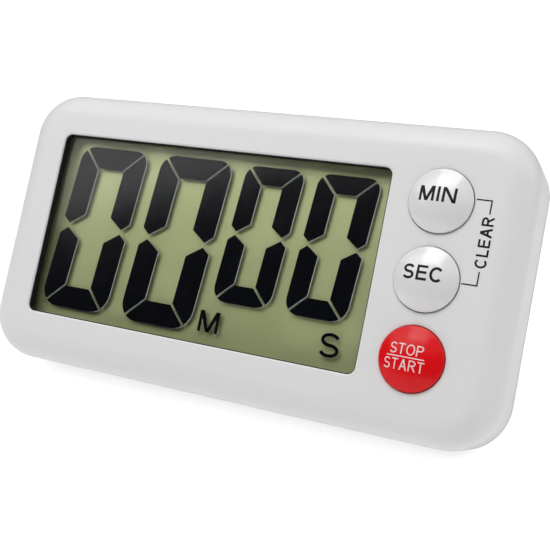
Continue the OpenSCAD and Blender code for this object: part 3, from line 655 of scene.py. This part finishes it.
def add_ribbon(bm, points, line, square_ends=True):
    """A band of even width along a chain of points."""
    chain = [Vector(p) for p in points]
    ways = [(b - a).normalized() for a, b in zip(chain, chain[1:])]
    if square_ends:
        chain[0] = chain[0] - ways[0] * line / 2
        chain[-1] = chain[-1] + ways[-1] * line / 2
    edges = []
    for i, point in enumerate(chain):
        before, after = ways[max(i - 1, 0)], ways[min(i, len(ways) - 1)]
        way = (before + after).normalized()
        reach = line / 2 / max(way.dot(after), 0.5)
        side = Vector((-way.y, way.x)) * reach
        edges.append((point - side, point + side))
    for (low_a, high_a), (low_b, high_b) in zip(edges, edges[1:]):
        add_quad(bm, (low_a, low_b, high_b, high_a))


def arc(cx, cy, rx, ry, start, end):
    """Points along part of an ellipse, from one angle to another."""
    angles = [math.radians(start + (end - start) * i / ARC_STEPS) for i in range(ARC_STEPS + 1)]
    return [(cx + rx * math.cos(a), cy + ry * math.sin(a)) for a in angles]


def letter(name, w, h, line):
    """A capital of a plain, even alphabet; its lower left corner is at 0, 0."""
    left, right, low, high = line / 2, w - line / 2, line / 2, h - line / 2
    mid, half, waist = w / 2, h / 2, 0.52 * h
    rx, ry = (right - left) / 2, (high - low) / 2
    upper, lower = (high + half) / 2, (low + half) / 2
    bowl = arc(mid, upper, right - mid, (high - half) / 2, 80, -80)
    bands = {
        "I": [[(mid, low), (mid, high)]],
        "L": [[(left, high), (left, low), (right, low)]],
        "T": [[(left, high), (right, high)], [(mid, low), (mid, high)]],
        "E": [[(right, high), (left, high), (left, low), (right, low)],
            [(left, waist), (right - 0.06 * w, waist)]],
        "P": [[(left, low), (left, high), (mid, high)] + bowl + [(mid, half), (left, half)]],
        "C": [arc(mid, half, rx, ry, 42, 318)],
        "O": [arc(mid, half, rx, ry, 0, 180), arc(mid, half, rx, ry, 180, 360)],
        "S": [arc(mid, upper, rx * 0.94, (high - half) / 2, 22, 262)
            + arc(mid, lower, rx, (half - low) / 2, 82, -160)]
    }
    bands["R"] = bands["P"] + [[(mid, half), (right, low)]]
    bm = bmesh.new()
    for band in bands.get(name, []):
        add_ribbon(bm, band, line, name not in ("O", "S", "C"))
    slope = line * 1.15
    if name in ("M", "N"):
        for x in (0, w - line):
            add_quad(bm, ((x, 0), (x + line, 0), (x + line, h), (x, h)))
    if name == "M":
        for end, sign in ((0, 1), (w, -1)):
            shoulder, tip = sign * slope * 1.2, sign * slope * 0.5
            add_quad(bm, ((end, h), (end + shoulder, h), (mid + tip, 0), (mid - tip, 0)))
    if name == "N":
        add_quad(bm, ((0, h), (slope * 1.1, h), (w, 0), (w - slope * 1.1, 0)))
    if name == "A":
        for end, sign in ((0, 1), (w, -1)):
            foot, tip = sign * slope, sign * slope * 0.55
            add_quad(bm, ((end, 0), (end + foot, 0), (mid + tip, h), (mid - tip, h)))
        bar = 0.28 * h
        add_quad(bm, ((0.2 * w, bar), (0.8 * w, bar), (0.76 * w, bar + line), (0.24 * w, bar + line)))
    return bm


# Width of each capital and the space after it, as shares of the letter height.
LETTER_WIDTH = {
    "A": 0.92, "C": 0.90, "E": 0.74, "I": 0.13, "L": 0.68, "M": 0.92,
    "N": 0.80, "O": 0.98, "P": 0.76, "R": 0.82, "S": 0.80, "T": 0.78
}
LETTER_SPACE = 0.16


def letters(text, w, h, line):
    """A word in that alphabet, centred, w wide and h high."""
    widths = [LETTER_WIDTH[c] * h for c in text]
    squeeze = w / (sum(widths) + LETTER_SPACE * h * (len(text) - 1))
    x = -w / 2
    parts = []
    for c, width in zip(text, widths):
        width = max(width * squeeze, line)
        parts.append((letter(c, width, h, line), (x, -h / 2), 0))
        x += width + LETTER_SPACE * h * squeeze
    return joined(parts)


def lay_on_cap(bm, button):
    """Cuts a flat print finely and lays it on a button's domed top."""
    reach = int(CAP_R / PRINT_STEP) + 1
    for axis in range(2):
        for i in range(-reach, reach + 1):
            spot, way = Vector((0, 0, 0)), Vector((0, 0, 0))
            spot[axis] = i * PRINT_STEP
            way[axis] = 1
            whole = bm.verts[:] + bm.edges[:] + bm.faces[:]
            bmesh.ops.bisect_plane(bm, geom=whole, plane_co=spot, plane_no=way)
    middle = BUTTON_MIDDLES[button]
    for v in bm.verts:
        v.co.z = dome_height(math.hypot(v.co.x, v.co.y)) + LEGEND_LIFT
        v.co.x += middle.x
        v.co.y += middle.y


def face_out(bm):
    """Turns every face of a flat print towards the viewer of the face."""
    bm.normal_update()
    bmesh.ops.reverse_faces(bm, faces=[f for f in bm.faces if f.normal.z < 0])


def cap_print(name, parts, button, material):
    """A print on a button's domed top."""
    bm = joined(parts)
    lay_on_cap(bm, button)
    face_out(bm)
    finish_piece(name, bm, material, BODY_OF_BUTTON[button])


def case_print(name, parts, z, material):
    """A flat print on a piece of the case, at a depth of z."""
    bm = joined(parts)
    face_out(bm)
    bmesh.ops.translate(bm, vec=(0, 0, z), verts=bm.verts)
    finish_piece(name, bm, material, "case")


# Widths of the words, then the height and stroke of each kind, then their middles.
WORD_W = {"MIN": 5.8, "SEC": 6.35, "STOP": 5.3, "START": 6.4, "CLEAR": 7.9, "M": 3.87, "S": 3.45}
KEY_WORD = (2.4, 0.41)
START_WORD = (1.7, 0.2)
CLEAR_WORD = (1.85, 0.31)
MINUTES_MARK = (3.7, 0.58)
SECONDS_MARK = (4.0, 0.56)
KEY_WORD_SPOT = (-0.35, 0.75)
STOP_SPOT = (-0.6, 1.28)
RULE_SPOT = (-0.65, 0.08)
START_SPOT = (-0.7, -1.12)
CLEAR_SPOT = (41.6, 6.7)
MINUTES_SPOT = (-2.78, -12.8)
SECONDS_SPOT = (19.55, -12.85)

# The rule between two words and the bracket beside the buttons.
RULE_HALF_W = 3
RULE_HALF_T = 0.08
BRACKET_LINE = 0.22
BRACKET_LEFT = 39.3
BRACKET_RIGHT = 41.65
BRACKET_TOP = 13.24
BRACKET_LOW = 0.04
BRACKET_UPPER_GAP = 11.1
BRACKET_LOWER_GAP = 2.2


def word(text, size):
    """A word of its own width, from a (height, stroke) pair."""
    return letters(text, WORD_W[text], *size)


def stop_start_rule():
    """The thin line between the two words of the red button."""
    bm = bmesh.new()
    add_bar(bm, (-RULE_HALF_W, -RULE_HALF_T), (RULE_HALF_W, RULE_HALF_T))
    return bm


def clear_bracket():
    """Bars that tie the word to the two buttons pressed together."""
    bm = bmesh.new()
    half = BRACKET_LINE / 2
    left, right = BRACKET_RIGHT - half, BRACKET_RIGHT + half
    add_bar(bm, (BRACKET_LEFT, BRACKET_TOP - half), (right, BRACKET_TOP + half))
    add_bar(bm, (left, BRACKET_UPPER_GAP), (right, BRACKET_TOP - half))
    add_bar(bm, (BRACKET_LEFT, BRACKET_LOW - half), (right, BRACKET_LOW + half))
    add_bar(bm, (left, BRACKET_LOW + half), (right, BRACKET_LOWER_GAP))
    return bm


# Each print is a list of (mesh, middle, turn in degrees).
cap_print("min_legend", [(word("MIN", KEY_WORD), KEY_WORD_SPOT, 0)], "min_button",
    LEGEND_BLACK)
cap_print("sec_legend", [(word("SEC", KEY_WORD), KEY_WORD_SPOT, 0)], "sec_button",
    LEGEND_BLACK)
cap_print("start_legend", [
    (word("STOP", START_WORD), STOP_SPOT, 0),
    (stop_start_rule(), RULE_SPOT, 0),
    (word("START", START_WORD), START_SPOT, 0)
], "start_button", LEGEND_PALE)
case_print("clear_legend", [
    (word("CLEAR", CLEAR_WORD), CLEAR_SPOT, 90),
    (clear_bracket(), (0, 0), 0)
], LEGEND_LIFT, LEGEND_BLACK)
ink_low, ink_high = flat_box("lcd_segments")
case_print("minutes_mark", [(word("M", MINUTES_MARK), MINUTES_SPOT, 0)], ink_high.z,
    DISPLAY_INK)
case_print("seconds_mark", [(word("S", SECONDS_MARK), SECONDS_SPOT, 0)], ink_high.z,
    DISPLAY_INK)


# ------------------------------------------------------------------ clear sheets of the display
SHEET_CORNER = 0.5


def clear_sheet(name, node, material):
    """A clear plate drawn as its front skin and side walls, so light crosses each plate once."""
    low, high = flat_box(node)
    middle = (low + high) / 2
    bm = bmesh.new()
    rim = rounded_loop(bm, high.x - low.x, high.y - low.y, SHEET_CORNER, middle, high.z)
    bmesh.ops.triangle_fill(bm, use_beauty=True, edges=rim)
    walk(bm, rim, middle, (0, 0), [(0, low.z)])
    bmesh.ops.recalc_face_normals(bm, faces=bm.faces)
    even_normals(finish_piece(name, bm, material, "case", [node]))


# Painted shadow of the digits: how far it grows past each segment, how far it is shifted right and down, and how
# far below the ink it lies.
SHADOW_MARGIN = 0.21
SHADOW_SHIFT = (0.17, -0.04)
SHADOW_DEPTH = 0.004
FACING_OUT = 0.9
FLAT_ENOUGH = 0.01


def painted_digit_shadows(material):
    """Painted shadow of the digits on the back of the display: pale grey pads under the ink, a little wider than
    each segment and shifted right and down, so they close the gaps between them.
    """
    bm = bmesh.new()
    bm.from_mesh(frame["nodes"]["lcd_segments"].data)
    bmesh.ops.transform(bm, matrix=STAND_UP.inverted(), verts=bm.verts)
    bm.normal_update()
    bmesh.ops.delete(bm, geom=[f for f in bm.faces if f.normal.z < FACING_OUT], context="FACES")
    bmesh.ops.dissolve_limit(bm, angle_limit=FLAT_ENOUGH, verts=bm.verts, edges=bm.edges)
    bmesh.ops.inset_region(bm, faces=bm.faces[:], thickness=SHADOW_MARGIN, use_boundary=True,
        use_even_offset=True, use_outset=True)
    for v in bm.verts:
        v.co.z = ink_low.z - SHADOW_DEPTH
    bmesh.ops.translate(bm, vec=(*SHADOW_SHIFT, 0), verts=bm.verts)
    face_out(bm)
    finish_piece("display_digit_shadows", bm, material, "case")


# Painted shadow of the digits under the ink.
painted_digit_shadows(PAINTED_DIGIT_SHADOW)
clear_sheet("display_film_sheet", "lcd_front_film", DISPLAY_FILM)
clear_sheet("display_front_glass", "lcd_front_glass", DISPLAY_GLASS)
clear_sheet("display_rear_glass", "lcd_rear_glass", DISPLAY_GLASS)
front_shell(WHITE_SHELL)
button_cap("min_button", WHITE_KEY)
button_cap("sec_button", WHITE_KEY)
button_cap("start_button", RED_KEY)


# ------------------------------------------------------------------ stand
STAND_W = 40
STAND_HALF_T = 0.9
STAND_CORNER = 4
STAND_TOP_CORNER = 1
STAND_OPEN = 42
STAND_RAIL = 7
STAND_FOOT_RAIL = 5.5
STAND_HEAD_RAIL = 6.5
STAND_INNER_CORNER = 3
STAND_EDGE_ROUND = 0.82
STAND_CORNER_STEPS = 8
STAND_EDGE_STEPS = 6
STUB_R = 0.6
STUB_LEN = 1.4
STUB_SIDES = 24
STUB_MIDDLE = STAND_W / 2 + 0.5
SHARP_ANGLE = 1.2


def corner_points(half_w, low, high, r_low, r_high):
    """Outline of a panel with its own corner radius at the low and the high end."""
    corners = ((1, high, r_high, 0), (-1, high, r_high, 90), (-1, low, r_low, 180), (1, low, r_low, 270))
    points = []
    for side, end, r, start in corners:
        cx = side * (half_w - r)
        cy = end - r if end == high else end + r
        for i in range(STAND_CORNER_STEPS + 1):
            a = math.radians(start + 90 * i / STAND_CORNER_STEPS)
            points.append((cx + r * math.cos(a), cy + r * math.sin(a)))
    return points


def outline_edges(bm, points):
    """A closed loop of edges through the points."""
    verts = [bm.verts.new((x, y, 0)) for x, y in points]
    return [bm.edges.new((a, b)) for a, b in zip(verts, verts[1:] + verts[:1])]


def stand_flap(material):
    """The fold-out stand, swung open: a frame-shaped flap with rounded edges and two hinge stubs."""
    low = flat_box("rear_stand")[0]
    open_turn = math.radians(STAND_OPEN)
    joint = next(j for j in frame["joints"] if j["name"] == "stand_fold")
    hinge = STAND_UP.inverted() @ Vector(joint["pos_m"])
    reach = (hinge.y - low.y - STAND_HALF_T) / math.cos(open_turn)
    bm = bmesh.new()
    outer = outline_edges(bm, corner_points(STAND_W / 2, -reach - STAND_HALF_T, STAND_HALF_T,
        STAND_CORNER, STAND_TOP_CORNER))
    inner = outline_edges(bm, corner_points(STAND_W / 2 - STAND_RAIL, STAND_FOOT_RAIL - reach,
        -STAND_HEAD_RAIL, STAND_INNER_CORNER, STAND_INNER_CORNER))
    bmesh.ops.triangle_fill(bm, use_beauty=True, edges=outer + inner)
    made = bmesh.ops.extrude_face_region(bm, geom=bm.faces[:])["geom"]
    top = [v for v in made if isinstance(v, bmesh.types.BMVert)]
    bmesh.ops.translate(bm, vec=(0, 0, 2 * STAND_HALF_T), verts=top)
    bmesh.ops.translate(bm, vec=(0, 0, -STAND_HALF_T), verts=bm.verts)
    bmesh.ops.recalc_face_normals(bm, faces=bm.faces)
    sharp = [e for e in bm.edges if e.calc_face_angle(0) > SHARP_ANGLE
        and abs(e.verts[0].co.z - e.verts[1].co.z) < SAME_SPOT]
    bmesh.ops.bevel(bm, geom=sharp, offset=STAND_EDGE_ROUND, offset_type="OFFSET", segments=STAND_EDGE_STEPS,
        profile=0.5, affect="EDGES", material=-1)
    for side in (-1, 1):
        stub = bmesh.ops.create_cone(bm, cap_ends=True, segments=STUB_SIDES, radius1=STUB_R, radius2=STUB_R,
            depth=STUB_LEN)["verts"]
        bmesh.ops.rotate(bm, cent=(0, 0, 0), matrix=Matrix.Rotation(math.pi / 2, 3, "Y"), verts=stub)
        bmesh.ops.translate(bm, vec=(side * STUB_MIDDLE, 0, 0), verts=stub)
    bmesh.ops.rotate(bm, cent=(0, 0, 0), matrix=Matrix.Rotation(open_turn, 3, "X"), verts=bm.verts)
    bmesh.ops.translate(bm, vec=(0, hinge.y, hinge.z), verts=bm.verts)
    bmesh.ops.recalc_face_normals(bm, faces=bm.faces)
    even_normals(finish_piece("stand_flap", bm, material, "stand", ["rear_stand"]), 40)


stand_flap(WHITE_REAR)


# ------------------------------------------------------------------ floor and light
FLOOR_HALF = 40
FLOOR_SHADE = 0.9
FLOOR_GLOW = 0.2
FLOOR_LIFT = 0.45


def floor_material():
    """Pale paper: a little brighter to the camera than to the timer, so it stays plain white."""
    made = surface("floor_paper", (FLOOR_SHADE,) * 3, (FLOOR_SHADE * 0.99,) * 3, 0.8, grain=900, depth=0.01,
        clouds=3, dust_and_shade=0, smudges=0.03, Specular_IOR_Level=0.2)
    tree = made.node_tree
    shader = tree.nodes["Principled BSDF"]
    shader.inputs["Emission Color"].default_value = (1, 1, 1, 1)
    ray = tree.nodes.new("ShaderNodeLightPath")
    lift = math_node(tree, "MULTIPLY", ray.outputs["Is Camera Ray"], FLOOR_LIFT)
    tree.links.new(math_node(tree, "ADD", lift, FLOOR_GLOW), shader.inputs["Emission Strength"])
    return made


def add_floor():
    """A wide sheet of pale paper under the timer."""
    bm = bmesh.new()
    bmesh.ops.create_grid(bm, x_segments=1, y_segments=1, size=FLOOR_HALF)
    mesh = bpy.data.meshes.new("floor")
    bm.to_mesh(mesh)
    bm.free()
    floor = bpy.data.objects.new("floor", mesh)
    bpy.context.scene.collection.objects.link(floor)
    mesh.materials.append(floor_material())


add_floor()


LIGHT_AIM = Vector((0, 0, 0.025))


def add_area(name, azimuth, elevation, distance, size, radiance, roll=0):
    """A soft box on a sphere round the timer. Azimuth 0 is in front of it, positive to its right."""
    turn, tilt = math.radians(azimuth), math.radians(elevation)
    away = Vector((math.sin(turn) * math.cos(tilt), -math.cos(turn) * math.cos(tilt), math.sin(tilt)))
    data = bpy.data.lights.new(name, "AREA")
    data.shape = "RECTANGLE"
    data.size, data.size_y = size
    data.energy = radiance * math.pi * size[0] * size[1]
    light = bpy.data.objects.new(name, data)
    bpy.context.scene.collection.objects.link(light)
    light.location = away * distance + LIGHT_AIM
    light.rotation_mode = "QUATERNION"
    aim = (-away).to_track_quat("-Z", "Y")
    light.rotation_quaternion = aim @ Quaternion((0, 0, 1), math.radians(roll))


add_area("overhead", azimuth=-10, elevation=76, distance=0.6, size=(0.34, 0.34), radiance=3.75)
add_area("key", azimuth=-49, elevation=50, distance=0.5, size=(0.42, 0.32), radiance=1.52, roll=53)
add_area("side", azimuth=105, elevation=22, distance=0.9, size=(0.5, 0.5), radiance=2.2)

# How bright the room is at each height of the sky dome, from straight down to straight up.
ROOM_STOPS = [(0.0, 0.04), (0.57, 0.04), (0.73, 0.68), (1.0, 0.68)]


def add_world():
    """A soft room: dark low down, pale above, with a white backdrop for the camera."""
    world = bpy.data.worlds.new("studio")
    world.use_nodes = True
    tree = world.node_tree
    tree.nodes.clear()
    place = tree.nodes.new("ShaderNodeTexCoord")
    split = tree.nodes.new("ShaderNodeSeparateXYZ")
    ramp = tree.nodes.new("ShaderNodeValToRGB")
    glow = tree.nodes.new("ShaderNodeBackground")
    out = tree.nodes.new("ShaderNodeOutputWorld")
    tree.links.new(place.outputs["Generated"], split.inputs[0])
    tree.links.new(split.outputs["Z"], ramp.inputs[0])
    tree.links.new(ramp.outputs["Color"], glow.inputs["Color"])
    backdrop = tree.nodes.new("ShaderNodeBackground")
    ray = tree.nodes.new("ShaderNodeLightPath")
    both = tree.nodes.new("ShaderNodeMixShader")
    tree.links.new(ray.outputs["Is Camera Ray"], both.inputs[0])
    tree.links.new(glow.outputs[0], both.inputs[1])
    tree.links.new(backdrop.outputs[0], both.inputs[2])
    backdrop.inputs["Color"].default_value = (1, 1, 1, 1)
    tree.links.new(both.outputs[0], out.inputs[0])
    ramp.color_ramp.interpolation = "EASE"
    while len(ramp.color_ramp.elements) < len(ROOM_STOPS):
        ramp.color_ramp.elements.new(0.5)
    for element, (height, level) in zip(ramp.color_ramp.elements, ROOM_STOPS):
        element.position = height
        element.color = (level, level, level, 1)
    bpy.context.scene.world = world


add_world()
bpy.context.scene.view_settings.view_transform = "Standard"
